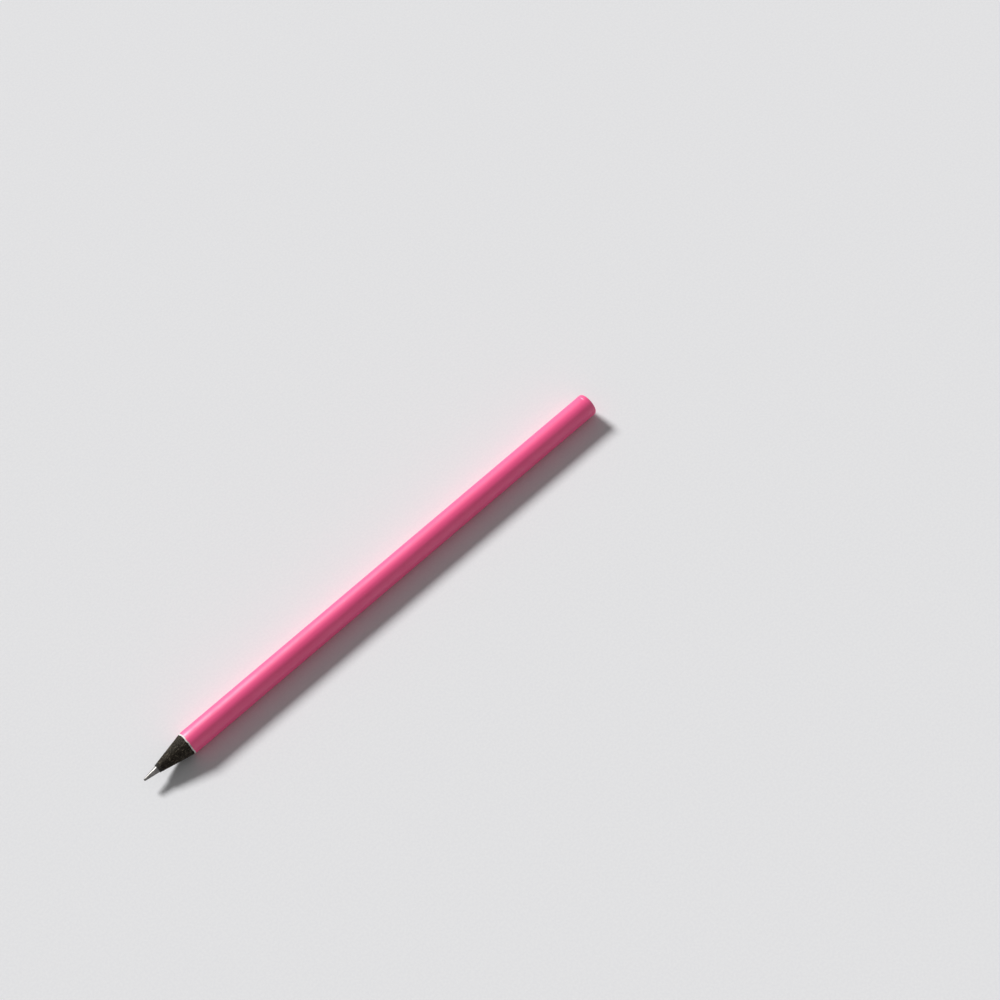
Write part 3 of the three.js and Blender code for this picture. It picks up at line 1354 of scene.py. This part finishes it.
@dataclass(frozen=True)
class DippedTail(Assembly):
    """The lacquer cup that a dip leaves over the trimmed end.

    The end face is drawn by pairs of shares: of the depth that it is sunk by, and of the
    flat's radius from the rim inwards, then of the lead's radius where that tells through.
    """

    sizes: PencilSizes
    lathe: Lathe
    finish: LacquerFinish
    outer_radius: float
    fit_gap: float = 0.01
    lap: float = 1.3
    feather: float = 0.15
    feather_steps: int = 5
    side_steps: int = 5
    rim_steps: int = 16
    inner_steps: int = 6
    lap_wander: float = 0.10
    lap_lobes: float = 1.6
    lap_fade: Span = (0.15, 0.6)
    seed: float = 12.0
    sunk: float = 0.06
    core_radius: float = 1.1
    rim_fall: tuple[tuple[float, float], ...] = ((0.15, 0.93), (0.6, 0.82), (1.0, 0.66))
    core_rise: tuple[tuple[float, float], ...] = ((1.0, 1.25), (0.75, 1.08), (0.2, 0.88), (0.0, 0.6))

    def rim(self, radius: float, reach: float, turns: Span, steps: int) -> list[Station]:
        """A quarter round about the rounding's centre.

        Args:
            radius: How far it stands out sideways.
            reach: How far it stands out along X.
            turns: First and last angle, 0 pointing outwards.
            steps: How finely it is drawn.

        Returns:
            Its stations.
        """
        sizes = self.sizes
        return [
            (sizes.rounding_x + reach * math.sin(turn), sizes.rounding_centre + radius * math.cos(turn))
            for turn in spread(*turns, steps)
        ]

    def end_face(self) -> list[Station]:
        """The end from its rim to the axis: sunk a hair, with the lead's round telling through.

        Returns:
            Its stations.
        """
        end = self.sizes.end_x
        zones = ((self.sizes.rounding_centre, self.rim_fall), (self.core_radius, self.core_rise))
        face = [
            (end - self.sunk * depth, radius * share)
            for radius, shares in zones
            for depth, share in shares
        ]
        return [*face, (end, 0.0)]

    def outline(self) -> list[Station]:
        """Stations of the inside, the lap, the rim and the end face.

        Returns:
            The outline, which starts and ends on the axis.
        """
        sizes = self.sizes
        quarter = math.pi / 2
        inner = sizes.trim_rounding + self.fit_gap
        inside = [(sizes.trim_x + self.fit_gap, 0.0)]
        inside += self.rim(inner, inner, (quarter, 0.0), self.inner_steps)
        lap_x = sizes.trim_x - self.lap
        thin = sizes.barrel_radius + self.fit_gap
        feather = [
            (lap_x + self.feather * share, thin + (self.outer_radius - thin) * smooth(0, 1, share))
            for share in spread(0, 1, self.feather_steps)
        ]
        side = [(x, self.outer_radius) for x in spread(feather[-1][0], sizes.rounding_x, self.side_steps)]
        swell = self.outer_radius - sizes.rounding_centre
        rim = self.rim(swell, sizes.end_x - sizes.rounding_x, (0.0, quarter), self.rim_steps)
        return [*inside, *feather, *side[1:], *rim[1:], *self.end_face()]

    def drain(self, spot: Spot) -> None:
        """Lets the lap's edge wander as a dip's edge does when it drains."""
        near_edge = 1 - smooth(*self.lap_fade, spot.x - (self.sizes.trim_x - self.lap))
        spot.x += self.lap_wander * near_edge * wander(spot.angle, self.lap_lobes, self.seed)

    def build(self) -> list[Piece]:
        """Turns the cup and dresses it.

        Returns:
            The dipped tail.
        """
        tail = self.lathe.turn("dipped_tail", self.outline())
        self.lathe.reshape(tail, self.drain)
        finish_piece(tail, self.finish.material("dip_lacquer"), "end_dip")
        return [tail]


@dataclass(frozen=True)
class GlueLine(Assembly):
    """The glue between the slats and round the lead: its solid, with a better finish."""

    finish: GlueFinish
    node: str = "glue_film"

    def build(self) -> list[Piece]:
        """Gives the solid its finish.

        Returns:
            The solid.
        """
        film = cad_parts[self.node]
        film.data.materials.clear()
        film.data.materials.append(self.finish.material("dried_glue"))
        return [film]


# The studio


@dataclass(frozen=True)
class KeyLight:
    """A broad, even light from far away. Angles in degrees."""

    azimuth: float = 98.0
    elevation: float = 36.5
    breadth: float = 14.0
    level: float = 1.15

    def hang(self) -> None:
        """Hangs the light. A white surface that faces it shows its level."""
        azimuth = math.radians(self.azimuth)
        elevation = math.radians(self.elevation)
        reach = math.cos(elevation)
        towards = Vector((math.cos(azimuth) * reach, math.sin(azimuth) * reach, math.sin(elevation)))
        bpy.ops.object.light_add(type="SUN", location=towards)
        light = bpy.context.object
        light.name = "key_light"
        light.rotation_euler = towards.to_track_quat("Z", "Y").to_euler()
        light.data.angle = math.radians(self.breadth)
        light.data.energy = self.level * math.pi


@dataclass(frozen=True)
class Studio(Assembly):
    """A pale floor, a soft key light, a pale surround and the camera.

    Floor and camera are placed in metres, and the camera is turned in degrees.
    """

    paper: PaperFinish
    key: KeyLight
    floor_radius: float = 6.0
    floor_sides: int = 96
    fill_level: float = 0.20
    backdrop: Colour = (0.80, 0.80, 0.81)
    camera_place: tuple[float, float, float] = (-0.13916, -0.25191, 0.54249)
    camera_turn: tuple[float, float, float] = (29.54939, 3.66203, -43.26897)
    camera_range: Span = (0.01, 20.0)
    lens: float = 74.17
    sensor: float = 36.0

    def lay_floor(self) -> Piece:
        """Lays the round sheet of paper that the pencil lies on.

        Returns:
            The floor.
        """
        bpy.ops.object.select_all(action="DESELECT")
        bpy.ops.mesh.primitive_circle_add(
            vertices=self.floor_sides, radius=self.floor_radius, fill_type="TRIFAN"
        )
        floor = bpy.context.object
        floor.name = "floor"
        floor.data.materials.append(self.paper.material("floor_paper"))
        return floor

    def surround(self) -> None:
        """Lights the scene softly from all round, and shows a pale backdrop behind it."""
        world = bpy.data.worlds.new("studio")
        world.use_nodes = True
        bench = Bench(world.node_tree)
        fill = bench.put("ShaderNodeBackground", Color=(1.0, 1.0, 1.0, 1.0), Strength=self.fill_level)
        pale = bench.put("ShaderNodeBackground", Color=(*self.backdrop, 1.0), Strength=1.0)
        path = bench.put("ShaderNodeLightPath")
        seen = bench.math("MAXIMUM", path.outputs["Is Camera Ray"], path.outputs["Is Glossy Ray"])
        seen = bench.math("MAXIMUM", seen, path.outputs["Is Transmission Ray"])
        mixed = bench.put("ShaderNodeMixShader", Fac=seen)
        bench.feed(mixed.inputs[1], fill.outputs["Background"])
        bench.feed(mixed.inputs[2], pale.outputs["Background"])
        bench.put("ShaderNodeOutputWorld", Surface=mixed.outputs["Shader"])
        bpy.context.scene.world = world

    def set_camera(self) -> None:
        """Sets the camera at the photograph's viewing angle."""
        turn = tuple(math.radians(angle) for angle in self.camera_turn)
        bpy.ops.object.camera_add(location=self.camera_place, rotation=turn)
        camera = bpy.context.object
        camera.name = "photo_camera"
        camera.data.lens = self.lens
        camera.data.sensor_width = self.sensor
        camera.data.clip_start, camera.data.clip_end = self.camera_range
        bpy.context.scene.camera = camera

    def build(self) -> list[Piece]:
        """Sets up the studio.

        Returns:
            The floor.
        """
        floor = self.lay_floor()
        self.key.hang()
        self.surround()
        self.set_camera()
        bpy.context.scene.view_settings.view_transform = "Standard"
        return [floor]


def packed_axis_height() -> float:
    """Height of the pencil's axis over the floor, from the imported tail, in millimetres."""
    low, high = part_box("end_dip")
    return (low[2] + high[2]) / 2 / MM


def main() -> None:
    """Builds the pencil from the inside out, then the studio, and reports each piece."""
    logging.basicConfig(level=logging.INFO, format="%(name)s: %(message)s")
    sizes = PencilSizes(axis_height=packed_axis_height())
    lathe = Lathe(axis_height=sizes.axis_height)
    shelf = EffectShelf()
    assemblies: list[Assembly] = [
        LeadCore(sizes, lathe, GraphiteFinish(shelf)),
        GlueLine(GlueFinish(shelf)),
        Casing(
            sizes,
            lathe,
            {Half.UPPER: DyedWoodFinish(shelf, seed=4.0), Half.LOWER: DyedWoodFinish(shelf, seed=21.0)},
        ),
        Coat(
            sizes,
            lathe,
            UndercoatFinish(shelf),
            name="undercoat_sleeve",
            slot="white_undercoat",
            node="undercoat",
            inner_radius=3.53,
            outer_radius=3.61,
            chip_depth=0.17,
            chip_lobes=5.0,
            seed=2.0,
        ),
        Coat(
            sizes,
            lathe,
            LacquerFinish(shelf, FilmKind.DRAWN),
            name="lacquered_barrel",
            slot="pink_lacquer",
            node="colour_coat",
            inner_radius=3.62,
            outer_radius=sizes.barrel_radius,
            chip_depth=0.08,
            chip_lobes=4.0,
            seed=9.0,
            waviness=0.005,
        ),
        DippedTail(sizes, lathe, LacquerFinish(shelf, FilmKind.DIPPED, roughness=0.42), sizes.axis_height),
        Studio(PaperFinish(shelf), KeyLight()),
    ]
    for assembly in assemblies:
        for piece in assembly.build():
            LOG.info("%s: %d faces", piece.name, len(piece.data.polygons))


if __name__ == "__main__":
    main()
